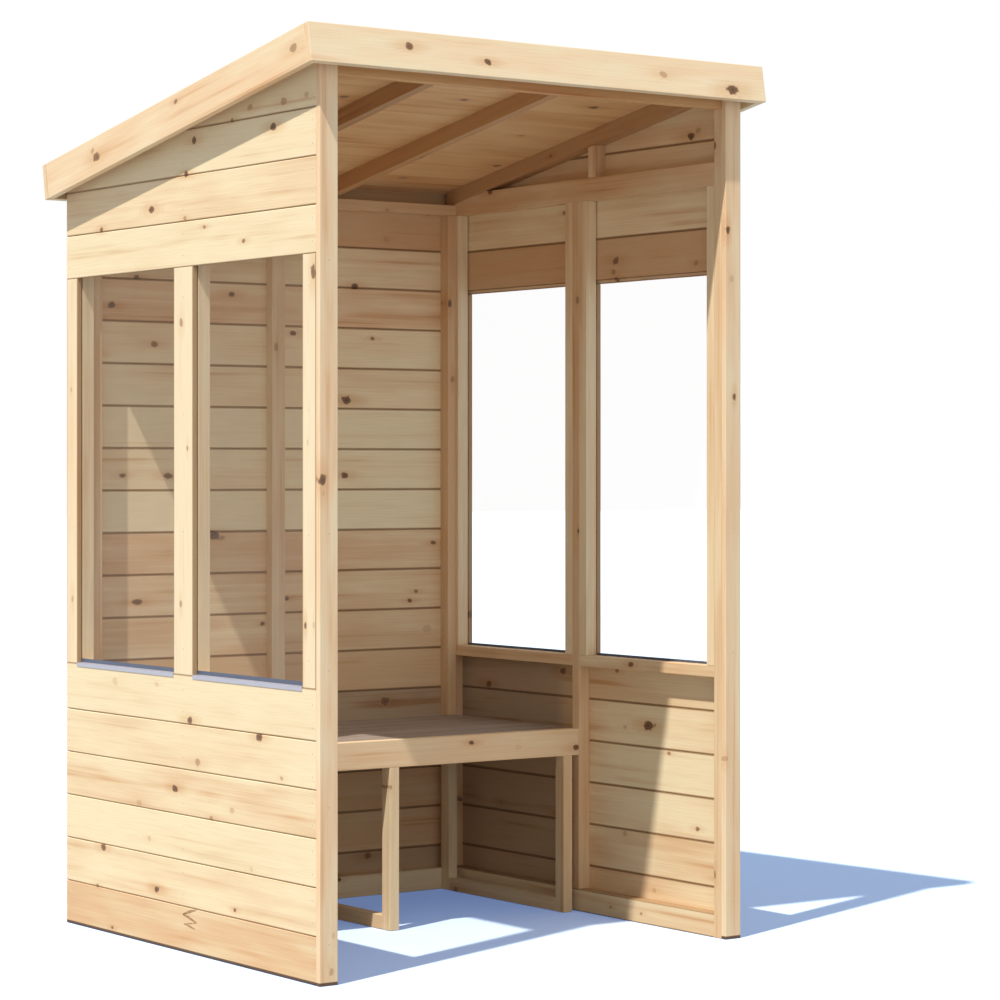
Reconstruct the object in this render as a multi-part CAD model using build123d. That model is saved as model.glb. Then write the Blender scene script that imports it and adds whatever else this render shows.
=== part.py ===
from build123d import *
from math import ceil, cos, radians, sin, tan
import os

# Garden arbor: three boarded walls, two of them half glazed, under a sloping boarded roof.
# Millimetres, +Z up, front towards -Y, origin on the ground under the middle of the roof.

# Walls
wall_width = 1200
wall_depth = 1180

# Rebated boards, laid level on the walls, the seat and the roof
board_cover = 107
board_thickness = 12
board_gap = 0.6
board_arris = 1.5
tongue_length = 8
tongue_thickness = 6
rebate_clearance = 0.3
lower_board_count = 6
boards_over_window_count = 2

# Framing timber
frame_width = 28
frame_depth = 35
rail_height = 57
sill_rail_height = 28
sill_rise = 6
plate_depth = 40
gable_stud_place = 502
back_stud_place = -5

# Front trims and header
trim_thickness = 16
header_height = 43

# Windows
stile_width = 56
mullion_width = 90
glass_thickness = 3
glass_lap = 10
strip_thickness = 1.5
strip_drop = 8
strip_upstand = 12
strip_clearance = 0.5

# Roof, set out square to its slope
roof_pitch = 9.75
roof_front_height = 2017
front_overhang = 40
back_overhang = 26
side_overhang = 47
fascia_height = 89
fascia_thickness = 18
felt_thickness = 2
left_rafter_place = -198
right_rafter_place = 161

# Bench
seat_height = 468
apron_height = 68
leg_inset = 21
middle_leg_place = -14
foot_rail_height = 35

# Roof, as a plane along the foot of its fascias, and levels square to it
pitch = radians(roof_pitch)
roof_length = (front_overhang + wall_depth + back_overhang) / cos(pitch)
roof_reach = roof_length * cos(pitch) + fascia_height * sin(pitch)
eave_front = -roof_reach / 2
roof_top = roof_front_height + fascia_height
roof_plane = Plane(
    origin=(0, eave_front, roof_front_height),
    x_dir=(1, 0, 0),
    z_dir=(0, sin(pitch), cos(pitch)),
)
boards_level = fascia_height - felt_thickness - board_thickness
plate_level = boards_level - plate_depth


def slope_height(y, level):
    """Height above the ground, at a place y, of the plane that lies at a level on the roof."""
    return roof_front_height - (y - eave_front) * tan(pitch) + level / cos(pitch)


# Places of the walls
front = eave_front + front_overhang
panel_front = front + trim_thickness
back = front + wall_depth
panel_middle = (panel_front + back) / 2
back_clad_inner = back - board_thickness
back_frame = (back_clad_inner - frame_depth, back_clad_inner)

wall_outer = -wall_width / 2
clad_inner = wall_outer + board_thickness
frame_inner = clad_inner + frame_depth
inside = (frame_inner, -frame_inner)

# Heights of the walls, the windows a whole number of boards below the top rails
back_top = slope_height(back_clad_inner, plate_level)
head_height = back_top - frame_width
gable_row = round(head_height / board_cover) - boards_over_window_count
window_top = gable_row * board_cover
clad_top = lower_board_count * board_cover + tongue_length
sill_top = clad_top + sill_rise


def block(x, y, z):
    """Square length of timber between two corners, each axis given as (low, high)."""
    size = (x[1] - x[0], y[1] - y[0], z[1] - z[0])
    return Pos(x[0], y[0], z[0]) * Box(*size, align=(Align.MIN, Align.MIN, Align.MIN))


def roof_block(x, along, above):
    """Length of timber set out on the roof: across it, down its slope and square to it."""
    return roof_plane * block(x, along, above)


def below_slope(piece, level):
    """What is left of a piece when its top is cut to the roof's slope."""
    return split(piece, bisect_by=roof_plane.offset(level), keep=Keep.BOTTOM)


def above_slope(piece, level):
    """What is left of a piece when its foot is cut to the roof's slope."""
    return split(piece, bisect_by=roof_plane.offset(level), keep=Keep.TOP)


def board(start, across, along, width, length, tongue=True):
    """Board laid from its inner corner: foot rebated to lap the next board's tongue, outer edges bevelled."""
    rebate = tongue_length + rebate_clearance
    lip = tongue_thickness + rebate_clearance
    face = board_thickness - board_arris
    head = [(width + tongue_length, 0), (width + tongue_length, tongue_thickness), (width, tongue_thickness)]
    section = [(rebate, 0)] + (head if tongue else [(width, 0)])
    section += [(width, face), (width - board_arris, board_thickness)]
    section += [(board_arris, board_thickness), (0, face), (0, lip), (rebate, lip)]
    bar = extrude(make_face(Polyline(*section, close=True)), amount=length, dir=(0, 0, 1))
    return Plane(origin=start, x_dir=across, z_dir=along) * bar


def side_board(row, width=board_cover - board_gap, tongue=True):
    """Level board of a side wall, from the back end to the front trim."""
    start = (clad_inner, back, row * board_cover)
    return board(start, (0, 0, 1), (0, -1, 0), width, back - panel_front, tongue)


def back_board(row):
    """Level board of the back wall, between the two side walls."""
    start = (inside[1], back_clad_inner, row * board_cover)
    return board(start, (0, 0, 1), (-1, 0, 0), board_cover - board_gap, inside[1] - inside[0])


def laid_boards(run):
    """Start, width and tongue of each board that covers a run, the last one ripped to fit."""
    last = ceil(run / board_cover) - 1
    whole = [(number * board_cover, board_cover - board_gap, True) for number in range(last)]
    return whole + [(last * board_cover, run - last * board_cover, False)]


# Side wall pieces, made for the left wall
clad = (wall_outer, clad_inner)
frame = (clad_inner, frame_inner)
front_stud = (panel_front, panel_front + frame_width)
middle_stud = (panel_middle - frame_width / 2, panel_middle + frame_width / 2)
back_stud = (back - frame_width, back)
front_stile = (panel_front, panel_front + stile_width)
mullion = (panel_middle - mullion_width / 2, panel_middle + mullion_width / 2)
back_stile = (back - stile_width, back)
windows = [(front_stile[1], mullion[0]), (mullion[1], back_stile[0])]
bays = [(front_stud[1], middle_stud[0]), (middle_stud[1], back_stud[0])]


def lower_cladding():
    top_row = lower_board_count - 1
    top_board = side_board(top_row, clad_top - top_row * board_cover, tongue=False)
    return [side_board(row) for row in range(top_row)] + [top_board]


def gable_cladding():
    rows = range(gable_row, ceil(slope_height(panel_front, boards_level) / board_cover))
    return [below_slope(side_board(row), boards_level) for row in rows]


def window_boards():
    return [block(clad, y, (clad_top, window_top)) for y in (front_stile, mullion, back_stile)]


def bottom_rail():
    return [block(frame, (front_stud[1], back_stud[0]), (0, rail_height))]


def studs():
    ends = [block(frame, y, (0, roof_top)) for y in (front_stud, back_stud)]
    ends = [below_slope(stud, plate_level) for stud in ends]
    return ends + [block(frame, middle_stud, (rail_height, head_height))]


def sill_rails():
    return [block(frame, bay, (sill_top - sill_rail_height, sill_top)) for bay in bays]


def window_jambs():
    pairs = zip(bays, windows)
    places = [span for bay, window in pairs for span in ((bay[0], window[0]), (window[1], bay[1]))]
    behind_glass = (clad_inner + glass_thickness, frame_inner)
    return [block(behind_glass, y, (sill_top, head_height)) for y in places]


def top_rail():
    rail = block(frame, (front_stud[1], back_stud[0]), (head_height, head_height + rail_height))
    return [below_slope(rail, plate_level)]


def gable_stud():
    y = (panel_front + gable_stud_place, panel_front + gable_stud_place + frame_width)
    stud = block(frame, y, (head_height + rail_height, roof_top))
    return [below_slope(stud, plate_level)]


def top_plate():
    plate = block(frame, (panel_front, back), (head_height, roof_top))
    return [above_slope(below_slope(plate, boards_level), plate_level)]


def front_trim():
    trim = block((wall_outer, frame_inner), (front, panel_front), (0, roof_top))
    return [below_slope(trim, boards_level)]


def window_panes():
    sheet = (clad_inner, clad_inner + glass_thickness)
    sides = [(window[0] - glass_lap, window[1] + glass_lap) for window in windows]
    return [block(sheet, y, (sill_top, window_top + glass_lap)) for y in sides]


def drip_strips():
    face = wall_outer
    seat = clad_top + strip_thickness
    fold = Polyline(
        (face, clad_top - strip_drop),
        (face, clad_top),
        (clad_inner, clad_top),
        (clad_inner, clad_top + strip_upstand),
        (clad_inner - strip_thickness, clad_top + strip_upstand),
        (clad_inner - strip_thickness, seat),
        (face - strip_thickness, seat),
        (face - strip_thickness, clad_top - strip_drop),
        close=True,
    )
    strips = []
    for window in windows:
        length = window[1] - window[0] - 2 * strip_clearance
        bar = extrude(make_face(fold), amount=length, dir=(0, 0, 1))
        end = (0, window[1] - strip_clearance, 0)
        strips.append(Plane(origin=end, x_dir=(1, 0, 0), z_dir=(0, -1, 0)) * bar)
    return strips


# Back wall and front header
def back_cladding():
    rows = range(ceil(back_top / board_cover))
    return [below_slope(back_board(row), plate_level) for row in rows]


def back_bottom_rail():
    x = (inside[0] + frame_width, inside[1] - frame_width)
    return [block(x, back_frame, (0, rail_height))]


def back_studs():
    left = (inside[0], inside[0] + frame_width)
    right = (inside[1] - frame_width, inside[1])
    middle = (back_stud_place - plate_depth / 2, back_stud_place + plate_depth / 2)
    laid_flat = (back_clad_inner - frame_width, back_clad_inner)
    ends = [block(x, back_frame, (0, head_height)) for x in (left, right)]
    return ends + [block(middle, laid_flat, (rail_height, head_height))]


def back_top_rail():
    return [block(inside, back_frame, (head_height, back_top))]


def front_header():
    bottom = slope_height(panel_front, plate_level) - header_height
    header = block(inside, front_stud, (bottom, roof_top))
    return [below_slope(header, plate_level)]


# Roof
roof_side = wall_width / 2 + side_overhang
roof_inside = (fascia_thickness - roof_side, roof_side - fascia_thickness)
slope_inside = (fascia_thickness, roof_length - fascia_thickness)


def front_fascia():
    return [roof_block((-roof_side, roof_side), (0, fascia_thickness), (0, fascia_height))]


def back_fascia():
    return [roof_block((-roof_side, roof_side), (slope_inside[1], roof_length), (0, fascia_height))]


def bargeboard():
    return [roof_block((-roof_side, roof_inside[0]), slope_inside, (0, fascia_height))]


def roof_rafters():
    middles = (left_rafter_place, right_rafter_place)
    spans = [(x - frame_width / 2, x + frame_width / 2) for x in middles]
    spans.append((roof_inside[0], roof_inside[0] + frame_width))
    spans.append((roof_inside[1] - frame_width, roof_inside[1]))
    return [roof_block(x, slope_inside, (plate_level, boards_level)) for x in spans]


def roof_boards():
    boards = []
    length = roof_inside[1] - roof_inside[0]
    for start, width, tongue in laid_boards(slope_inside[1] - slope_inside[0]):
        place = (roof_inside[1], slope_inside[0] + start, boards_level + board_thickness)
        corner = roof_plane.from_local_coords(place)
        boards.append(board(corner, roof_plane.y_dir, (-1, 0, 0), width, length, tongue))
    return boards


def roof_felt():
    felt_bottom = boards_level + board_thickness
    return [roof_block(roof_inside, slope_inside, (felt_bottom, fascia_height))]


# Bench
apron = (middle_stud[0], middle_stud[0] + frame_width)
legs_front = (apron[0], apron[0] + frame_depth)
legs_back = (back_frame[0] - frame_depth, back_frame[0])
seat_under = seat_height - board_thickness
bearer_under = seat_under - frame_depth
leg_side = inside[1] - leg_inset - frame_width / 2
leg_spans = [
    (place - frame_width / 2, place + frame_width / 2)
    for place in (-leg_side, middle_leg_place, leg_side)
]


def bench_seat():
    boards = []
    length = inside[1] - inside[0]
    for start, width, tongue in laid_boards(back_frame[0] - apron[1]):
        corner = (inside[0], apron[1] + start, seat_under)
        boards.append(board(corner, (0, 1, 0), (1, 0, 0), width, length, tongue))
    return boards


def bench_apron():
    return [block(inside, apron, (seat_height - apron_height, seat_height))]


def bench_front_legs():
    return [block(x, legs_front, (0, seat_height - apron_height)) for x in leg_spans]


def bench_foot_rails():
    return [block(x, (legs_front[1], legs_back[0]), (0, foot_rail_height)) for x in leg_spans]


def bench_back_legs():
    return [block(x, legs_back, (0, bearer_under)) for x in leg_spans]


def bench_bearers():
    return [block(x, (apron[1], back_frame[0]), (bearer_under, seat_under)) for x in leg_spans]


# Every piece under its own name, the side walls as a mirrored pair
side_pieces = {
    "lower_cladding": lower_cladding(),
    "gable_cladding": gable_cladding(),
    "window_boards": window_boards(),
    "bottom_rail": bottom_rail(),
    "studs": studs(),
    "sill_rails": sill_rails(),
    "window_jambs": window_jambs(),
    "top_rail": top_rail(),
    "gable_stud": gable_stud(),
    "top_plate": top_plate(),
    "front_trim": front_trim(),
    "window_panes": window_panes(),
    "drip_strips": drip_strips(),
    "bargeboard": bargeboard(),
}
pieces = {
    "back_cladding": back_cladding(),
    "back_bottom_rail": back_bottom_rail(),
    "back_studs": back_studs(),
    "back_top_rail": back_top_rail(),
    "front_header": front_header(),
    "front_fascia": front_fascia(),
    "back_fascia": back_fascia(),
    "roof_rafters": roof_rafters(),
    "roof_boards": roof_boards(),
    "roof_felt": roof_felt(),
    "bench_seat": bench_seat(),
    "bench_apron": bench_apron(),
    "bench_front_legs": bench_front_legs(),
    "bench_foot_rails": bench_foot_rails(),
    "bench_back_legs": bench_back_legs(),
    "bench_bearers": bench_bearers(),
}
for name, solids in side_pieces.items():
    pieces["left_" + name] = solids
    pieces["right_" + name] = [mirror(solid, about=Plane.YZ) for solid in solids]

os.makedirs("parts", exist_ok=True)
for name, solids in pieces.items():
    export_step(Compound(children=solids), f"parts/{name}.step")
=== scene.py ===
import math
import random

import bmesh
import bpy
from mathutils import Matrix, Vector, noise


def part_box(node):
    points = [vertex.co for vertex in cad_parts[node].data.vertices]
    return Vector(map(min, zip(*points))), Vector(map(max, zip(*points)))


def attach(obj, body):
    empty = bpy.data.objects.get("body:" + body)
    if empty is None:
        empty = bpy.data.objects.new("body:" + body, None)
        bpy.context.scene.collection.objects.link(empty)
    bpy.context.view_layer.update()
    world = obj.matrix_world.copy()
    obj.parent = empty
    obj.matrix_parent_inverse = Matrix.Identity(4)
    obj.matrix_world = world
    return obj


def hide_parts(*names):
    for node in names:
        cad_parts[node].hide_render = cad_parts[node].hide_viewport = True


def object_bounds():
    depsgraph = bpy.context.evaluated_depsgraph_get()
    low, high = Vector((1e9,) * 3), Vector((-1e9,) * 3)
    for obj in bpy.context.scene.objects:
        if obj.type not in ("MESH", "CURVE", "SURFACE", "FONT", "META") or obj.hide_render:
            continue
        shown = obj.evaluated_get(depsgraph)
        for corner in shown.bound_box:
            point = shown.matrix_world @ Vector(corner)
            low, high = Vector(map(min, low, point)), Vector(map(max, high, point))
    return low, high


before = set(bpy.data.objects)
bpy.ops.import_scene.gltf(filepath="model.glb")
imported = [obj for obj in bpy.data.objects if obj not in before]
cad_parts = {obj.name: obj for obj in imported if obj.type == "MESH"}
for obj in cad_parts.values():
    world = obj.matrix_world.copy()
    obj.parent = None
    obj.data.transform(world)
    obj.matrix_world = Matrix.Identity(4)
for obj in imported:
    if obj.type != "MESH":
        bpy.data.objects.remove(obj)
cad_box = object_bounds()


# Side wall framing: bottom rails, studs, sill rails, window jambs, top rails, gable studs, sloping plates.
# Planed softwood sticks with eased arrises, cut square or to the roof's slope, screwed into a panel a side.
class Shade:
    """A socket in a material, so that sums over a surface read as plain arithmetic."""

    def __init__(self, tree, socket=None):
        self.tree = tree
        self.socket = socket

    def node(self, kind, sockets=(), out=0, **settings):
        """Adds a node: its settings first, then a value or a link for each socket named."""
        made = self.tree.nodes.new("ShaderNode" + kind)
        for key, value in settings.items():
            setattr(made, key, value)
        for key, value in dict(sockets).items():
            if isinstance(value, Shade):
                self.tree.links.new(value.socket, made.inputs[key])
            else:
                made.inputs[key].default_value = value
        return Shade(self.tree, made.outputs[out] if made.outputs else None)

    def math(self, operation, first, second=0.0):
        return self.node("Math", {0: first, 1: second}, operation=operation)

    def __add__(self, other):
        return self.math("ADD", self, other)

    def __sub__(self, other):
        return self.math("SUBTRACT", self, other)

    def __rsub__(self, other):
        return self.math("SUBTRACT", other, self)

    def __mul__(self, other):
        return self.math("MULTIPLY", self, other)

    def __truediv__(self, other):
        return self.math("DIVIDE", self, other)

    def __pow__(self, other):
        return self.math("POWER", self, other)

    __radd__ = __add__
    __rmul__ = __mul__

    def larger(self, other):
        return self.math("MAXIMUM", self, other)

    def ramp(self, low, high):
        """0 at low, 1 at high, with a smooth rise between."""
        return self.node("MapRange", {0: self, 1: low, 2: high}, interpolation_type="SMOOTHSTEP")

    def split(self):
        parts = self.node("SeparateXYZ", {0: self}).socket.node.outputs
        return [Shade(self.tree, part) for part in parts]

    def read(self, name):
        """A vector that the mesh carries under a name."""
        return self.node("Attribute", out="Vector", attribute_name=name)

    def noise(self, x, y, z, detail=2.0):
        place = self.node("CombineXYZ", {0: x, 1: y, 2: z})
        return self.node("TexNoise", {"Vector": place, "Scale": 1.0, "Detail": detail})

    def mix(self, factor, first, second, blend="MIX"):
        """One colour into another, by a factor."""
        colours = {0: factor, 6: first, 7: second}
        return self.node("Mix", colours, out=2, data_type="RGBA", blend_type=blend)


KNOTS_A_BOARD = 4


def blank_finish(name):
    """A new material with no nodes yet, and the shade that draws in it."""
    finish = bpy.data.materials.new(name)
    finish.use_nodes = True
    finish.node_tree.nodes.clear()
    return finish, Shade(finish.node_tree)


def softwood(name, cream, honey, knots=KNOTS_A_BOARD):
    """Planed pine: rings round a wandering heart, fibres, streaks, and knots where a board has them."""
    deep_brown = (0.34, 0.25, 0.17, 1)
    rosy = (1.0, 0.87, 0.81, 1)
    vein_brown = (0.80, 0.62, 0.46, 1)
    latewood = (0.84, 0.70, 0.54, 1)
    fibre_shade = (0.86, 0.77, 0.66, 1)
    resin_halo = (0.80, 0.58, 0.40, 1)
    knot_rim = (0.50, 0.29, 0.15, 1)
    knot_dark = (0.075, 0.033, 0.015, 1)
    knot_pale = (0.19, 0.09, 0.04, 1)
    end_shade = (0.82, 0.70, 0.57, 1)
    joint_and_back_shade_brown = (0.36, 0.23, 0.12, 1)
    foot_shadow_brown = (0.13, 0.09, 0.06, 1)
    wood, draw = blank_finish(name)
    length, width, depth = draw.read("grain").split()
    tint, blush, end_grain = draw.read("board").split()
    heart_width, heart_depth, ring_gap = draw.read("heart").split()
    lower_edge, upper_edge, has_foot_shadow = draw.read("joint").split()

    def figure(along, around, detail):
        """Noise drawn out along the board, by its waves a metre along and around it."""
        return draw.noise(length * along, width * around, depth * around, detail)

    lumps = figure(90, 90, 0.0)
    sway = figure(0.6, 2, 0.0)
    clouds = figure(2.8, 17, 2.0)
    streaks = figure(1.2, 75, 3.0)
    fibres = figure(9, 330, 1.0)
    lumpy = 0.6 + 0.8 * lumps
    streaky = 0.7 + 0.6 * streaks
    core_stretch, trail_stretch = 0.5, 0.09
    ring_push, ring_sway = 0.0011, 0.03
    push, core, halo, nearest = 0.0, 0.0, 0.0, 9.0
    for number in range(knots):
        far, wide, packed = draw.read(f"knot_{number}").split()
        dark = draw.math("FRACT", packed)
        far_square = far * far
        wide_square = wide * wide
        reach = draw.math("SQRT", far_square * core_stretch + wide_square) * lumpy
        trail = draw.math("SQRT", far_square * trail_stretch + wide_square) * streaky
        nearest = draw.math("MINIMUM", reach, nearest)
        core = ((1 - reach.ramp(0.6, 1.1)) * dark).larger(core)
        swirl = 1 - trail.ramp(0.3, 2.4)
        halo = (swirl * dark).larger(halo)
        push = swirl * (draw.math("FLOOR", packed) * ring_push) + push
    from_heart = width - heart_width + (sway - 0.5) * ring_sway
    below_heart = depth - heart_depth
    rings = draw.math("SQRT", from_heart * from_heart + below_heart * below_heart) + push
    late = draw.math("FRACT", rings / ring_gap + (streaks - 0.5) * 0.8) ** 2.5
    tone = (tint + (streaks - 0.5) * 0.9 + (clouds - 0.5) * 1.1).ramp(-0.05, 1.05)
    colour = draw.mix(tone, cream, honey)
    # Tints past 1 darken to a deep brown; on inner faces, rafters and the right and back boards this is
    # partly painted shade.
    colour = draw.mix(tint.ramp(1.0, 2.0), colour, deep_brown)
    colour = draw.mix(blush * clouds.ramp(0.25, 0.6), colour, rosy, "MULTIPLY")
    veins = streaks.ramp(0.56, 0.74) * clouds.ramp(0.42, 0.66)
    colour = draw.mix(veins * (0.45 + 0.7 * tint), colour, vein_brown, "MULTIPLY")
    colour = draw.mix(late * 0.28, colour, latewood, "MULTIPLY")
    colour = draw.mix(fibres.ramp(0.4, 0.75) * 0.3, colour, fibre_shade, "MULTIPLY")
    colour = draw.mix(halo * 0.6, colour, resin_halo, "MULTIPLY")
    knot_rings = draw.math("SINE", nearest * 7.0 - 1.57) * 0.5 + 0.5
    colour = draw.mix(core.ramp(0.0, 0.5) * 0.75, colour, knot_rim)
    colour = draw.mix(core.ramp(0.3, 1.0), colour, draw.mix(knot_rings, knot_dark, knot_pale))
    colour = draw.mix(end_grain * 0.4, colour, end_shade, "MULTIPLY")
    # Dark joints, and painted shade over the whole of a back set as shaded.
    near_joint = draw.math("MINIMUM", width - lower_edge, upper_edge - width)
    joint_and_back_shade = 0.8 - 0.8 * near_joint.ramp(0.0014, 0.0040)
    colour = draw.mix(joint_and_back_shade, colour, joint_and_back_shade_brown, "MULTIPLY")
    # Painted shadow: the lowest few millimetres of outside boards and trims are darkened where they meet the
    # ground.
    _, _, up = draw.node("NewGeometry", out="Position").split()
    foot_shadow = (1 - up.ramp(0.0065, 0.0085)) * has_foot_shadow
    colour = draw.mix(foot_shadow, colour, foot_shadow_brown, "MULTIPLY")
    normal = draw.node("Bump", {"Strength": 0.2, "Distance": 0.0005, "Height": fibres})
    surface = draw.node("BsdfPrincipled", {
        "Base Color": colour,
        "Roughness": 0.62 - 0.08 * late + 0.1 * fibres,
        "Normal": normal,
    })
    draw.node("OutputMaterial", {0: surface})
    return wood


def solids_of(node, order):
    """The separate solids of a CAD node with whole flat faces, sorted along a direction."""
    whole = bmesh.new()
    whole.from_mesh(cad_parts[node].data)
    bmesh.ops.remove_doubles(whole, verts=whole.verts, dist=1e-5)
    bmesh.ops.dissolve_limit(whole, angle_limit=0.002, verts=whole.verts, edges=whole.edges)
    whole.verts.index_update()
    left = set(whole.verts)
    groups = []
    while left:
        front = [left.pop()]
        group = set(front)
        while front:
            joined = {edge.other_vert(vert) for vert in front for edge in vert.link_edges} & left
            left -= joined
            group |= joined
            front = list(joined)
        groups.append({vert.index for vert in group})
    solids = []
    for group in groups:
        solid = whole.copy()
        others = [vert for vert in solid.verts if vert.index not in group]
        bmesh.ops.delete(solid, geom=others, context="VERTS")
        solids.append(solid)
    whole.free()
    solids.sort(key=lambda solid: sum(order.dot(vert.co) for vert in solid.verts) / len(solid.verts))
    return solids


def timber(node, wood, along, across, knots=(), tones=(), arris=0.0015, datum=Vector(), boards=False,
           outside=False, shaded_back=False, indoors=0):
    """Stands for a CAD node: each stick keeps its shape, and gets eased arrises, its own grain and knots.

    Knots are given in millimetres along and across the stick from the datum, with a radius and a darkness;
    each point of the stick keeps how many knot radii it lies from each. A tone is a stick's tint, its blush
    and how much darker its far part grows beside the bench, which is painted shade. Boards have dark joints,
    outside ones have a painted shadow along the foot, and a shaded back is dimmed all over with painted
    shade.
    Indoors is the sign of the depth that faces in; dark tints there are partly the board's own tone and
    partly painted shade, and the other face is never darker than a pale tint.
    """
    depth = along.cross(across)
    axes = Matrix((along, across, depth))
    # Sticks are sorted across; along and depth only settle ties.
    order = across + along * 0.01 + depth * 0.0001
    station_gap, end_reach, hollow = 0.09, 1e-5, 0.0006
    # Painted shade: how far a shaded back's darkening reaches, the palest tint for faces that look out, and
    # where and how fast boards darken beside the bench.
    no_joint, back_shade_reach = 9, 0.0025
    pale_face_tint, bench_from, bench_fade = 0.5, 0.42, 0.2
    no_knot, knot_share = (1e6, 0, 1, 0), 0.9
    points, faces = [], []
    names = ["grain", "board", "heart", "joint"] + [f"knot_{number}" for number in range(KNOTS_A_BOARD)]
    marks = {name: [] for name in names}
    spans = []
    for number, stick in enumerate(solids_of(node, order)):
        chance = random.Random(f"{node} {number}")
        places = [axes @ (vert.co - datum) for vert in stick.verts]
        low = Vector([min(place[axis] for place in places) for axis in range(3)])
        high = Vector([max(place[axis] for place in places) for axis in range(3)])
        spans.append((low, high))
        bmesh.ops.bevel(stick, geom=stick.edges[:], offset=arris, segments=2, profile=0.6,
                        affect="EDGES", clamp_overlap=True)
        stations = max(1, round((high.x - low.x) / station_gap))
        for step in range(1, stations):
            cut = datum + along * (low.x + (high.x - low.x) * step / stations)
            bmesh.ops.bisect_plane(stick, geom=stick.verts[:] + stick.edges[:] + stick.faces[:],
                                   plane_co=cut, plane_no=along, dist=1e-6)
        middle = (low + high) / 2
        edges = {}
        for face in (True, False):
            rows = [place.y - middle.y for place in places if (place.z > middle.z) == face]
            edges[face] = (min(rows), max(rows)) if boards else (-no_joint, no_joint)
        shift = chance.uniform(0, 40)
        if number < len(tones):
            tint, blush, *bench_shade = tones[number]
        else:
            tint, blush, bench_shade = chance.uniform(0.1, 0.6), chance.uniform(0, 0.7), ()
        heart = (chance.choice((-1, 1)) * chance.uniform(0.02, 0.16), -chance.uniform(0.008, 0.03),
                 chance.uniform(0.0026, 0.0048))
        held = [knot for knot in knots
                if low.x * 1000 < knot[0] < high.x * 1000
                and low.y * 1000 - knot[2] / 2 < knot[1] < high.y * 1000 + knot[2] / 2]
        if not knots:
            for _ in range(round(chance.uniform(0.6, 2.6) * (high.x - low.x))):
                held.append((chance.uniform(low.x, high.x) * 1000, chance.uniform(low.y, high.y) * 1000,
                             chance.uniform(4, 11), chance.uniform(0.3, 0.95)))
        held = sorted(held, key=lambda knot: -knot[2] * knot[3])[:KNOTS_A_BOARD]
        held += [no_knot] * (KNOTS_A_BOARD - len(held))
        first = len(points)
        stick.verts.index_update()
        for vert in stick.verts:
            place = axes @ (vert.co - datum)
            grain = place - middle
            side = 1 if place.y > middle.y else -1
            pinch = abs(noise.noise((place.x * 5 + shift, side * 3.7, number * 1.9))) * hollow
            points.append(vert.co - across * side * pinch)
            at_end = min(place.x - low.x, high.x - place.x) < end_reach
            share = (place.x - low.x) / (high.x - low.x)
            # Painted shade: boards darken over their far part beside the bench, and only on the face that
            # faces in.
            near_bench = max(0.0, min(1.0, (share - bench_from) / bench_fade))
            outdoor_face = indoors * (place.z - middle.z) < 0
            face_tint = min(tint, pale_face_tint) if outdoor_face else tint + near_bench * sum(bench_shade)
            lower, upper = edges[place.z > middle.z]
            # Painted shade: a shaded back is darkened all over, as if it were one wide joint.
            if shaded_back and place.z > middle.z:
                lower = grain.y - back_shade_reach
            marks["grain"].append((grain.x + shift, grain.y, grain.z))
            marks["board"].append((face_tint, blush, float(at_end)))
            marks["heart"].append(heart)
            marks["joint"].append((lower, upper, float(outside)))
            for knot_number, (knot_along, knot_across, radius, dark) in enumerate(held):
                whole = max(1, round(radius))
                marks[f"knot_{knot_number}"].append((
                    (place.x * 1000 - knot_along) / (whole * knot_share),
                    (place.y * 1000 - knot_across) / (whole * knot_share),
                    whole + 0.02 + 0.96 * dark,
                ))
        faces += [[first + vert.index for vert in face.verts] for face in stick.faces]
        stick.free()
    mesh = bpy.data.meshes.new(node + "_timber")
    mesh.from_pydata(points, [], faces)
    for name, rows in marks.items():
        mark = mesh.attributes.new(name, "FLOAT_VECTOR", "POINT")
        mark.data.foreach_set("vector", [value for row in rows for value in row])
    mesh.materials.append(wood)
    piece = bpy.data.objects.new(node + "_timber", mesh)
    bpy.context.scene.collection.objects.link(piece)
    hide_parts(node)
    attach(piece, "root")
    return spans


X, Y, Z = Vector((1, 0, 0)), Vector((0, 1, 0)), Vector((0, 0, 1))
roof_pitch = math.radians(9.75)
down_slope = Vector((0, math.cos(roof_pitch), -math.sin(roof_pitch)))
off_slope = Vector((0, math.sin(roof_pitch), math.cos(roof_pitch)))
eave = Vector((0, cad_box[0].y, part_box("front_fascia")[0].z))
frame_wood = softwood("frame softwood", (0.88, 0.74, 0.50, 1), (0.70, 0.47, 0.26, 1), knots=2)
brown_wood = softwood("brown softwood", (0.84, 0.55, 0.275, 1), (0.63, 0.345, 0.135, 1), knots=2)
frame_knots = {
    "right_sill_rails": [(-221, 643, 8, 0.9)],
    "right_window_jambs": [(1728, 84, 9, 0.85)],
    "left_window_jambs": [(1440, 528, 5, 0.7), (1462, -24, 7, 0.8)],
}
frame_tones = {
    "top_plate": [(1.4, 0.4)], "top_rail": [(0.8, 0.5)], "studs": [(0.4, 0.4), (0.8, 0.5), (0.9, 0.5)],
    "window_jambs": [(0.25, 0.3)] * 4, "gable_stud": [(0.7, 0.4)], "sill_rails": [(0.6, 0.4)] * 2,
}
for hand in ("left_", "right_"):
    for piece, along, across in (
        ("bottom_rail", Y, Z), ("studs", Z, Y), ("sill_rails", Y, Z), ("window_jambs", Z, Y),
        ("top_rail", Y, Z), ("gable_stud", Z, Y), ("top_plate", down_slope, off_slope),
    ):
        stock = brown_wood if piece == "top_plate" else frame_wood
        timber(hand + piece, stock, along, across, frame_knots.get(hand + piece, ()),
               frame_tones.get(piece, ()), boards=piece == "bottom_rail")
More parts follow.
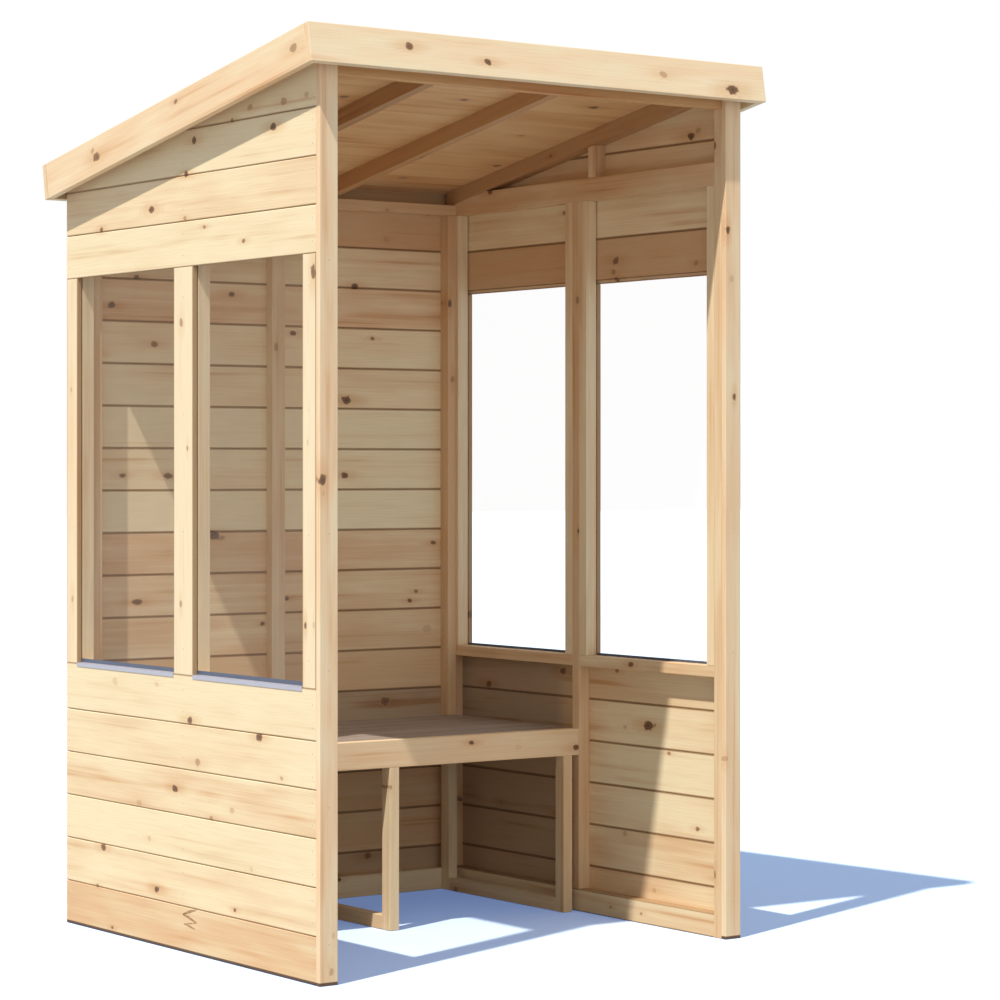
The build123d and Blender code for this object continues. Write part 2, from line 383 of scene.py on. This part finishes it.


# Side wall cladding: level softwood boards below the windows and up to the roof over them.
# Machined with a rebated joint that laps 8 mm, bevelled at the face, and nailed to the studs.
# Painted shade darkens the right boards inside beside the bench; the lowest left one shows a zigzag of bark.
cladding_wood = softwood("cladding softwood", (0.92, 0.79, 0.53, 1), (0.74, 0.51, 0.29, 1))
cladding_knots = {
    "left_lower_cladding": [
        (354, 15, 6, 0.8), (134, 133, 10, 1),
        (-229, 126, 6, 0.8), (429, 109, 6, 0.6), (397, 207, 11, 0.85), (371, 197, 7, 0.35),
        (169, 250, 8, 0.25), (-301, 226, 7, 0.2), (-123, 326, 7, 0.5), (44, 380, 11, 1), (-216, 352, 9, 0.3),
        (219, 331, 10, 0.3), (-59, 450, 12, 0.45), (-336, 529, 11, 0.9), (-431, 443, 6, 0.4),
        (-101, 519, 9, 0.25), (-23, 545, 11, 0.85), (339, 615, 13, 0.2), (134, 620, 7, 0.2),
    ],
    "left_gable_cladding": [
        (513, 1660, 5, 0.6), (-91, 1693, 6, 0.6), (-267, 1650, 7, 0.7), (-291, 1665, 5, 0.3),
        (159, 1750, 11, 0.9), (409, 1718, 8, 0.8), (-1, 1718, 7, 0.5), (-481, 1770, 8, 0.4),
        (-6, 1822, 9, 0.9), (-43, 1898, 10, 0.9), (-396, 1897, 11, 1), (-486, 1868, 9, 0.35),
        (-441, 1950, 10, 0.45), (-296, 1950, 10, 0.4), (-536, 1955, 9, 0.35), (-216, 1929, 7, 0.6),
    ],
    "right_lower_cladding": [
        (439, 555, 12, 0.95), (109, 607, 12, 0.9), (77, 600, 7, 0.4), (-246, 490, 15, 1), (-273, 492, 5, 0.5),
        (-331, 427, 6, 0.6), (-441, 250, 7, 0.7), (-153, 480, 7, 0.3), (-153, 210, 9, 0.3),
        (-121, 620, 7, 0.6), (384, 243, 9, 0.5), (144, 235, 9, 0.5), (-271, 80, 8, 0.3),
    ],
    "right_gable_cladding": [
        (-116, 1660, 12, 0.8), (-106, 1632, 9, 0.55), (-116, 1613, 8, 0.8), (-436, 1637, 8, 0.55),
        (349, 1625, 8, 0.45), (102, 1797, 7, 0.6), (-416, 1950, 12, 0.95), (-446, 1962, 9, 0.4),
    ],
}
# The right boards' darker inner tints, and the third value that darkens their back part beside the bench, are
# partly painted shade.
cladding_tones_and_shade = {
    "left_lower_cladding": [(0.75, 0.45), (0.27, 0.35), (0.08, 0), (0.3, 0.4), (0.16, 0.3), (0.05, 0.05)],
    "left_gable_cladding": [(0.05, 0.05), (0.22, 0.4), (0.1, 0.1), (0.1, 0.1), (0.1, 0.3)],
    "right_lower_cladding": [(0.6, 0.3, 0.9), (0.5, 0.3, 1.0), (0.1, 0.2, 1.4), (0.0, 0.0, 1.4),
                             (0.2, 0.2, 1.6), (0.6, 0.0, 1.1)],
    "right_gable_cladding": [(1.25, 0.8), (0.3, 0.1), (0.5, 0.3), (0.5, 0.3), (0.5, 0.3)],
}
board_arris = 0.0006
clad_spans = {}
for hand in ("left_", "right_"):
    for piece in ("lower_cladding", "gable_cladding"):
        node = hand + piece
        clad_spans[node] = timber(node, cladding_wood, Y, Z, cladding_knots[node],
                                  cladding_tones_and_shade[node], arris=board_arris, boards=True, outside=True,
                                  indoors=-1 if hand == "right_" else 0)


def speckle(draw, waves, detail=2.0):
    """Even noise through a piece, by its waves a metre."""
    x, y, z = draw.node("NewGeometry", out="Position").split()
    return draw.noise(x * waves, y * waves, z * waves, detail)


bark, draw = blank_finish("bark pocket")
bark_dark, bark_pale = (0.27, 0.135, 0.06, 1), (0.50, 0.29, 0.15, 1)
flakes = speckle(draw, 300)
bark_surface = draw.node("BsdfPrincipled", {
    "Base Color": draw.mix(flakes, bark_dark, bark_pale),
    "Roughness": 0.8 + 0.15 * flakes,
    "Alpha": 0.15 + 0.75 * flakes.ramp(0.36, 0.56),
})
draw.node("OutputMaterial", {0: bark_surface})
bark_proud, bark_thickness = 0.0001, 0.0002
bark_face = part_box("left_lower_cladding")[0].x - bark_proud
bark_strokes = (
    [(-54, 105, 1.2), (-25, 98.5, 3.4), (8, 88.5, 2.0)],
    [(8, 88.5, 2.0), (-22, 83, 3.6), (-55, 75.5, 1.0)],
    [(-55, 75.5, 1.0), (-24, 70, 1.4), (2, 67, 3.8), (-26, 63, 2.6), (-48, 59.5, 0.8)],
)
bark_shape = bmesh.new()
for stroke in bark_strokes:
    rims = []
    for number, (back, up, half_width) in enumerate(stroke):
        before, after = stroke[max(0, number - 1)], stroke[min(len(stroke) - 1, number + 1)]
        square = Vector((before[1] - after[1], after[0] - before[0])).normalized() * half_width
        for side in (square, -square):
            rims.append(bark_shape.verts.new((bark_face, (back + side.x) / 1000, (up + side.y) / 1000)))
    for number in range(0, len(rims) - 2, 2):
        bark_shape.faces.new((rims[number], rims[number + 1], rims[number + 3], rims[number + 2]))
bmesh.ops.recalc_face_normals(bark_shape, faces=bark_shape.faces)
bmesh.ops.solidify(bark_shape, geom=bark_shape.faces[:], thickness=bark_thickness)
bark_mesh = bpy.data.meshes.new("bark_pocket")
bark_shape.to_mesh(bark_mesh)
bark_shape.free()
bark_mesh.materials.append(bark)
bark_piece = bpy.data.objects.new("bark_pocket", bark_mesh)
bpy.context.scene.collection.objects.link(bark_piece)
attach(bark_piece, "root")


# Window boards and front trims: flat softwood strips, planed all round, with eased arrises.
# The window boards stand between the cladding above and below; the trims cover the walls' front ends.
trim_wood = softwood("trim softwood", (0.92, 0.79, 0.55, 1), (0.84, 0.61, 0.37, 1))
window_board_knots = [
    (1565, -563, 13, 0.8), (787, -531, 7, 0.8), (790, -566, 6, 0.25), (1190, -541, 6, 0.2),
    (1475, 17, 10, 0.5), (954, -43, 9, 0.9), (814, 19, 7, 0.5), (1180, -12, 6, 0.5),
    (810, 559, 8, 0.35), (1330, 567, 6, 0.3),
]
window_spans = {
    "left_": timber("left_window_boards", trim_wood, Z, Y, window_board_knots,
                    [(0.1, 0.1), (0.03, 0.1), (0.3, 0.3)], boards=True),
    "right_": timber("right_window_boards", trim_wood, Z, Y, boards=True),
}
timber("left_front_trim", trim_wood, Z, X,
       [(1107, -592, 11, 0.9), (30, -570, 8, 0.35), (108, -564, 7, 0.2), (1078, -591, 5, 0.2)],
       [(0.08, 1.0)], outside=True)
timber("right_front_trim", trim_wood, Z, X,
       [(1707, 560, 8, 1), (1307, 580, 7, 0.85), (435, 555, 6, 0.35), (1590, 572, 9, 0.25)],
       [(0.4, 0.6)], outside=True)


# Window panes: one clear 3 mm sheet to each of the four lights, behind the window boards.
# Cut with ground edges; the left pair wears a film of brown dust, the right pair is almost clean.
def glazing(name, film, dust_colour):
    """Clear sheet under a film of dust; film is the share of the light that the dust stops."""
    glass, draw = blank_finish(name)
    _, across_glass, up_glass = draw.node("NewGeometry", out="Position").split()
    dust = draw.noise(across_glass * 9, up_glass * 7, 0.0, 2.0)
    edge_on = draw.node("LayerWeight", {"Blend": 0.5}, out="Facing")
    clear = draw.node("BsdfPrincipled", {
        "Base Color": dust_colour,
        "Roughness": 0.04 + 0.05 * dust,
        "Alpha": film * (0.6 + 0.8 * dust) + 0.2 * edge_on ** 4.0,
    })
    draw.node("OutputMaterial", {0: clear})
    return glass


def dressed(node, finish, arris):
    """Stands for a CAD node whose solids keep their shape, with eased edges and a finish."""
    points, faces = [], []
    for solid in solids_of(node, Y):
        bmesh.ops.bevel(solid, geom=solid.edges[:], offset=arris, segments=2, profile=0.6,
                        affect="EDGES", clamp_overlap=True)
        solid.verts.index_update()
        first = len(points)
        points += [vert.co.copy() for vert in solid.verts]
        faces += [[first + vert.index for vert in face.verts] for face in solid.faces]
        solid.free()
    mesh = bpy.data.meshes.new(node + "_dressed")
    mesh.from_pydata(points, [], faces)
    mesh.materials.append(finish)
    piece = bpy.data.objects.new(node + "_dressed", mesh)
    bpy.context.scene.collection.objects.link(piece)
    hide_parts(node)
    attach(piece, "root")


pane_arris = 0.0004
dusty_glazing = glazing("dusty glazing", 0.06, (0.24, 0.18, 0.13, 1))
clean_glazing = glazing("clean glazing", 0.01, (0.92, 0.94, 0.94, 1))
dressed("left_window_panes", dusty_glazing, pane_arris)
dressed("right_window_panes", clean_glazing, pane_arris)


# Drip strips: a thin folded strip along the foot of each light, turned down over the cladding.
# Coated grey sheet, lightly marked by water.
coated_strip, draw = blank_finish("coated grey strip")
strip_grey, strip_pale = (0.42, 0.41, 0.46, 1), (0.56, 0.54, 0.59, 1)
upstand_shade_grey = (0.10, 0.115, 0.165, 1)
strip_arris, fold_low, fold_high = 0.0003, 0.0095, 0.0115
strip_x, strip_y, strip_z = draw.node("NewGeometry", out="Position").split()
water_marks = draw.noise(strip_x * 60, strip_y * 25, strip_z * 300, 4.0)
strip_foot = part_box("left_drip_strips")[0].z
# Painted shade: the strip's upstand above the fold is coloured a dark blue-grey.
upstand_shade = strip_z.ramp(strip_foot + fold_low, strip_foot + fold_high)
strip_surface = draw.node("BsdfPrincipled", {
    "Base Color": draw.mix(upstand_shade, draw.mix(water_marks, strip_grey, strip_pale), upstand_shade_grey),
    "Roughness": 0.3 + 0.25 * water_marks,
    "Metallic": 0.35,
})
draw.node("OutputMaterial", {0: strip_surface})
for hand in ("left_", "right_"):
    dressed(hand + "drip_strips", coated_strip, strip_arris)


# Back wall: framing of two end studs, a middle stud laid flat, a bottom and a top rail, boarded outside.
# The same sticks and rebated boards as the side walls, between which the panel stands.
timber("back_bottom_rail", frame_wood, X, Z)
timber("back_studs", frame_wood, Z, X,
       [(1580, 532, 9, 0.9), (1375, 541, 8, 0.6), (1450, -12, 9, 0.5)],
       [(0.7, 0.5), (0.35, 0.4), (1.0, 0.5)])
timber("back_top_rail", frame_wood, X, Z, (), [(1.0, 0.5)])
back_knots = [
    (250, 1617, 10, 0.9), (305, 1480, 6, 0.7), (222, 1315, 13, 1), (218, 1115, 10, 0.9), (500, 933, 7, 0.8),
    (445, 803, 7, 0.7), (425, 778, 7, 0.9), (258, 850, 6, 0.4), (260, 778, 6, 0.3), (480, 700, 13, 0.25),
    (-410, 1617, 8, 0.8), (-480, 1545, 10, 0.9), (-515, 1420, 7, 0.5), (-357, 1449, 10, 0.7),
    (-130, 1583, 9, 0.9), (58, 1488, 9, 0.9), (-450, 1115, 8, 0.8), (-317, 1115, 10, 0.8),
    (-185, 962, 15, 0.9), (-160, 955, 8, 0.5), (-408, 795, 11, 0.9), (37, 793, 8, 0.9),
    (-37, 730, 7, 0.9), (344, 510, 14, 0.85), (444, 520, 8, 0.4), (290, 102, 12, 0.8), (254, 36, 13, 0.8),
    (350, 1745, 8, 0.3), (485, 1820, 8, 0.5),
]
# The back boards' tints are partly their own tone and partly painted shade inside, darkest at the foot and at
# the top under the roof.
back_tones_and_shade = [
    (1.5, 0.2), (0.95, 0.3), (0.95, 0.4), (0.9, 0.3), (1.6, 0.0), (1.05, 0.1),
    (0.7, 0.2), (0.65, 0.3), (0.75, 0.5), (-0.15, 0.1), (0.2, 0.3), (-0.2, 0.1),
    (0.2, 0.5), (0.0, 0.6), (0.4, 0.9), (0.4, 0.4), (1.2, 0.9), (1.9, 0.5),
]
clad_spans["back_cladding"] = timber("back_cladding", cladding_wood, X, Z, back_knots,
                                     back_tones_and_shade, arris=board_arris, boards=True, outside=True, indoors=1)


# Front header: one softwood rail between the side walls, under the front end of the rafters.
# Top planed to the roof's slope, screwed through the front studs.
timber("front_header", brown_wood, X, Z, (), [(0.8, 0.5)])


# Roof timbers: rafters down the slope, boards across them, and the fascias and bargeboards that box them in.
# Softwood; the boards are the walls' rebated boards with their good faces down, nailed from above.
# The two middle rafters' darker tints are partly painted shade under the roof.
timber("roof_rafters", brown_wood, down_slope, X, [(780, 175, 12, 0.85), (330, 175, 9, 0.4)],
       [(0.7, 0.4), (1.45, 0.4), (1.3, 0.4), (0.7, 0.4)], datum=eave)
ceiling_knots = [
    (50, 410, 12, 0.75), (422, 383, 14, 0.85), (520, 940, 13, 0.7), (-260, 465, 13, 0.7),
    (335, 1110, 14, 0.5), (400, 660, 10, 0.45), (260, 690, 12, 0.4), (-30, 265, 9, 0.3),
]
timber("roof_boards", brown_wood, X, down_slope, ceiling_knots,
       [(0.25, 0.3), (0.4, 0.3), (0.3, 0.5), (0.15, 0.2), (0.4, 0.4), (0.3, 0.3)] * 2,
       arris=board_arris, datum=eave)
timber("left_bargeboard", trim_wood, down_slope, off_slope,
       [(984, 42, 14, 0.8), (1001, 62, 8, 0.4), (587, 72, 7, 0.7), (66, 50, 13, 0.55)],
       [(0.5, 0.4)], datum=eave)
timber("right_bargeboard", trim_wood, down_slope, off_slope)
timber("front_fascia", trim_wood, X, off_slope,
       [(-385, 56, 10, 0.85), (-173, 37, 9, 0.95), (337, 48, 10, 0.4), (545, 26, 15, 1)],
       [(0.08, 0.6)], datum=eave)
# Painted shade over the back fascia's inner face, where it hangs over the gap above the back wall.
timber("back_fascia", trim_wood, X, off_slope, shaded_back=True)


# Roof felt: three lengths of mineral-faced felt laid across the boards between the fascias and bargeboards.
# Bitumen sheet with slate grit pressed into its face; each length laps the one below it down the slope.
felt, draw = blank_finish("mineral felt")
felt_black, felt_slate = (0.035, 0.037, 0.04, 1), (0.16, 0.165, 0.17, 1)
felt_worn = (0.72, 0.72, 0.72, 1)
grit = speckle(draw, 700, 3.0)
patches = speckle(draw, 6, 4.0)
felt_colour = draw.mix(grit.ramp(0.35, 0.7), felt_black, felt_slate)
felt_surface = draw.node("BsdfPrincipled", {
    "Base Color": draw.mix(patches, felt_colour, felt_worn, "MULTIPLY"),
    "Roughness": 0.8 + 0.15 * grit,
    "Normal": draw.node("Bump", {"Strength": 0.6, "Distance": 0.001, "Height": grit}),
})
draw.node("OutputMaterial", {0: felt_surface})
felt_clear = 0.0006
felt_places = [vert.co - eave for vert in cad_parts["roof_felt"].data.vertices]
felt_side = max(place.x for place in felt_places) - felt_clear
felt_top = min(place.dot(down_slope) for place in felt_places) + felt_clear
felt_foot = max(place.dot(down_slope) for place in felt_places) - felt_clear
felt_bed = min(place.dot(off_slope) for place in felt_places)
felt_lap, felt_lengths, felt_thickness = 0.075, 3, 0.0018
lap_rise, ripple_height, ragged_depth = 0.02, 0.0003, 0.0015
felt_pitch = (felt_foot - felt_top) / felt_lengths
columns, rows = 48, 30
points, faces = [], []
for number in range(felt_lengths):
    upper = felt_top + felt_pitch * number
    lower = min(felt_foot, upper + felt_pitch + felt_lap)
    laps = lower < felt_foot
    first = len(points)
    for layer in (0, 1):
        for row in range(rows + 1):
            for column in range(columns + 1):
                across_roof = felt_side * (2 * column / columns - 1)
                down_roof = upper + (lower - upper) * row / rows
                lifted = max(0.0, min(1.0, (down_roof - lower + felt_lap) / lap_rise)) if laps else 0.0
                ripple = noise.noise((across_roof * 4, down_roof * 4, number * 7.1)) * ripple_height
                level = felt_bed + lifted * felt_thickness + layer * (felt_thickness + ripple)
                if laps and row == rows:
                    down_roof -= abs(noise.noise((across_roof * 11, number * 3.3, 0.5)) * ragged_depth)
                points.append(eave + X * across_roof + down_slope * down_roof + off_slope * level)
    sheet = (rows + 1) * (columns + 1)
    for row in range(rows):
        for column in range(columns):
            corner = first + row * (columns + 1) + column
            bottom = [corner, corner + columns + 1, corner + columns + 2, corner + 1]
            faces += [bottom, [sheet + index for index in reversed(bottom)]]
    rim = [first + column for column in range(columns + 1)]
    rim += [first + row * (columns + 1) + columns for row in range(1, rows + 1)]
    rim += [first + rows * (columns + 1) + column for column in range(columns - 1, -1, -1)]
    rim += [first + row * (columns + 1) for row in range(rows - 1, 0, -1)]
    for here, there in zip(rim, rim[1:] + rim[:1]):
        faces.append([here, there, sheet + there, sheet + here])
felt_mesh = bpy.data.meshes.new("felt_lengths")
felt_mesh.from_pydata(points, [], faces)
felt_mesh.materials.append(felt)
felt_piece = bpy.data.objects.new("felt_lengths", felt_mesh)
bpy.context.scene.collection.objects.link(felt_piece)
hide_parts("roof_felt")
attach(felt_piece, "root")


# Bench: seat boards on bearers, an apron along the front, front and back legs, and foot rails on the ground.
# Softwood sticks as in the walls; the seat is the walls' boards with their faces up.
# The seat's wood is a dark grey-brown: partly its own colour and partly painted shade over the seat.
seat_wood_and_shade = softwood("seat softwood", (0.40, 0.335, 0.285, 1), (0.30, 0.245, 0.205, 1), knots=2)
seat_spans = timber("bench_seat", seat_wood_and_shade, X, Y, (),
                    [(0.6, 0.2), (0.5, 0.3), (0.7, 0.2), (0.6, 0.3), (0.5, 0.2)],
                    arris=board_arris, boards=True)
timber("bench_apron", trim_wood, X, Z,
       [(217, 449, 7, 0.95), (545, 420, 9, 0.9), (360, 430, 10, 0.15)], [(0.6, 0.35)])
for piece, along, across in (
    ("bench_front_legs", Z, X), ("bench_back_legs", Z, X),
    ("bench_foot_rails", Y, Z), ("bench_bearers", Y, Z),
):
    timber(piece, frame_wood, along, across)


# Fixings: small-headed nails through the boards, trims and seat, and broad clouts along the felt's laps.
# Zinc-plated steel, driven flush.
zinc, draw = blank_finish("zinc plate")
zinc_dull, zinc_bright = (0.30, 0.29, 0.27, 1), (0.55, 0.54, 0.52, 1)
bloom = speckle(draw, 400)
zinc_surface = draw.node("BsdfPrincipled", {
    "Base Color": draw.mix(bloom, zinc_dull, zinc_bright),
    "Roughness": 0.35 + 0.25 * bloom,
    "Metallic": 0.7,
})
draw.node("OutputMaterial", {0: zinc_surface})


def nail_heads(name, radius, proud, rows):
    """Flat heads with a chamfered rim, one mesh for all; rows are pairs of a place and the way it faces."""
    chamfer, sides = 0.72, 12
    heads = bmesh.new()
    for place, facing in rows:
        turn = facing.to_track_quat("Z", "Y").to_matrix().to_4x4()
        seat = Matrix.Translation(place + facing * proud / 2) @ turn
        bmesh.ops.create_cone(heads, cap_ends=True, segments=sides, radius1=radius, radius2=radius * chamfer,
                              depth=proud, matrix=seat)
    mesh = bpy.data.meshes.new(name)
    heads.to_mesh(mesh)
    heads.free()
    mesh.materials.append(zinc)
    piece = bpy.data.objects.new(name, mesh)
    bpy.context.scene.collection.objects.link(piece)
    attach(piece, "root")


nail_radius, nail_proud = 0.0014, 0.0003
stud_edge, middle_stud = 0.014, 0.0075
stud_rows = [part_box("left_studs")[0].y + stud_edge, middle_stud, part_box("left_studs")[1].y - stud_edge]
back_stud_rows = (-0.539, -0.005, 0.539)
rafter_rows, fascia_levels = (-0.614, -0.198, 0.161, 0.614), (0.025, 0.064)
bearer_rows, seat_edge = (-0.518, -0.014, 0.518), 0.03
above_joint, below_joint, narrow_board = 0.028, 0.036, 0.07
roof_clear, fascia_clear = 0.02, 0.01
window_nails, window_first, window_gap = 4, 0.06, 0.275
trim_nails, trim_first, trim_gap = 7, 0.09, 0.3
wall_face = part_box("right_lower_cladding")[1].x
nails = []
for hand, side in (("left_", -X), ("right_", X)):
    for low, high in clad_spans[hand + "lower_cladding"] + clad_spans[hand + "gable_cladding"]:
        for up in (low.y + above_joint, high.y - below_joint):
            for back in stud_rows:
                under_roof = eave.z - (back - eave.y) * math.tan(roof_pitch) - roof_clear
                if low.x < back < high.x and up < under_roof and high.y - low.y > narrow_board:
                    nails.append((side * wall_face + Y * back + Z * up, side))
    for low, high in window_spans[hand]:
        for step in range(window_nails):
            up = low.x + window_first + step * window_gap
            nails.append((side * wall_face + Y * (low.y + high.y) / 2 + Z * up, side))
    trim_low, trim_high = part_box(hand + "front_trim")
    for step in range(trim_nails):
        up = trim_first + step * trim_gap
        nails.append((X * (trim_low.x + trim_high.x) / 2 + Y * trim_low.y + Z * up, -Y))
back_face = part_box("back_cladding")[1].y
back_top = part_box("back_fascia")[0].z - fascia_clear
for low, high in clad_spans["back_cladding"]:
    for up in (low.y + above_joint, high.y - below_joint):
        for sideways in back_stud_rows:
            if up < back_top and high.y - low.y > narrow_board:
                nails.append((X * sideways + Y * back_face + Z * up, Y))
for sideways in rafter_rows:
    for level in fascia_levels:
        nails.append((eave + X * sideways + off_slope * level, -down_slope))
for low, high in seat_spans:
    for sideways in bearer_rows:
        for back in (low.y + seat_edge, high.y - seat_edge):
            nails.append((X * sideways + Y * back + Z * high.z, Z))
nail_heads("board_nails", nail_radius, nail_proud, nails)
clout_radius, clout_proud, clout_edge = 0.005, 0.0009, 0.02
clouts_a_lap, clout_reach = 13, felt_side * 0.96
clouts = []
for number in range(felt_lengths):
    lap_foot = min(felt_foot, felt_top + felt_pitch * (number + 1) + felt_lap) - clout_edge
    on_top = felt_bed + felt_thickness * (2 if number < felt_lengths - 1 else 1)
    for step in range(clouts_a_lap):
        across_roof = clout_reach * (2 * step / (clouts_a_lap - 1) - 1)
        clouts.append((eave + X * across_roof + down_slope * lap_foot + off_slope * on_top, off_slope))
nail_heads("felt_clouts", clout_radius, clout_proud, clouts)


# Floor, daylight and camera: a plain pale floor, a clear sun from the left with a faint broad fill from the
# front, and the photograph's view. The sky is white to the eye and to glass, and lights a little blue.
def plainly_seen(draw):
    """1 for a ray that meets the eye, straight or by gloss or glass, and 0 for one that carries light."""
    rays = draw.node("LightPath").socket.node.outputs
    names = ("Is Camera Ray", "Is Glossy Ray", "Is Transmission Ray")
    eye, gloss, glass = [Shade(draw.tree, rays[name]) for name in names]
    return eye.larger(gloss).larger(glass)


floor_reach, floor_drop = 60.0, 0.0005
floor_corners = [(-floor_reach, -floor_reach, 0), (floor_reach, -floor_reach, 0),
                 (floor_reach, floor_reach, 0), (-floor_reach, floor_reach, 0)]
floor_mesh = bpy.data.meshes.new("floor")
floor_mesh.from_pydata(floor_corners, [], [(0, 1, 2, 3)])
floor = bpy.data.objects.new("floor", floor_mesh)
floor.location.z = -floor_drop
bpy.context.scene.collection.objects.link(floor)
floor_finish, draw = blank_finish("pale floor")
plain_floor = draw.node("BsdfDiffuse", {"Color": (0.34, 0.34, 0.34, 1)})
bright_floor = draw.node("AddShader", {
    0: draw.node("BsdfDiffuse", {"Color": (0.70, 0.82, 0.92, 1)}),
    1: draw.node("Emission", {"Color": (0.035, 0.10, 0.28, 1), "Strength": 1.0}),
})
floor_surface = draw.node("MixShader", {0: plainly_seen(draw), 1: plain_floor, 2: bright_floor})
draw.node("OutputMaterial", {0: floor_surface})
floor_mesh.materials.append(floor_finish)

world = bpy.data.worlds.new("white sky")
world.use_nodes = True
world.node_tree.nodes.clear()
draw = Shade(world.node_tree)
fill = draw.node("Background", {"Color": (0.37, 0.382, 0.403, 1), "Strength": 1.0})
white = draw.node("Background", {"Color": (1, 1, 1, 1), "Strength": 1.0})
draw.node("OutputWorld", {0: draw.node("MixShader", {0: plainly_seen(draw), 1: fill, 2: white})})
bpy.context.scene.world = world

sun = bpy.data.objects.new("sun", bpy.data.lights.new("sun", "SUN"))
sun.data.energy = 4.1
sun.data.angle = math.radians(1.0)
sun.data.color = (1.0, 0.97, 0.92)
sun.rotation_euler = Vector((0.538, 0.204, -1)).to_track_quat("-Z", "Y").to_euler()
bpy.context.scene.collection.objects.link(sun)

front_fill = bpy.data.objects.new("front_fill", bpy.data.lights.new("front_fill", "SUN"))
front_fill.data.energy = 0.4
front_fill.data.angle = math.radians(60)
front_fill.rotation_euler = Vector((0.25, 0.9, -0.35)).to_track_quat("-Z", "Y").to_euler()
bpy.context.scene.collection.objects.link(front_fill)

camera = bpy.data.objects.new("camera", bpy.data.cameras.new("camera"))
camera.location = (-4.183, -6.253, 1.1315)
camera.rotation_euler = (math.radians(90), 0, math.radians(-35.693))
camera.data.sensor_width = 36
camera.data.lens = 110.2
camera.data.shift_y = -0.0308
camera.data.clip_end = 200
bpy.context.scene.collection.objects.link(camera)
bpy.context.scene.camera = camera
bpy.context.scene.view_settings.view_transform = "Standard"
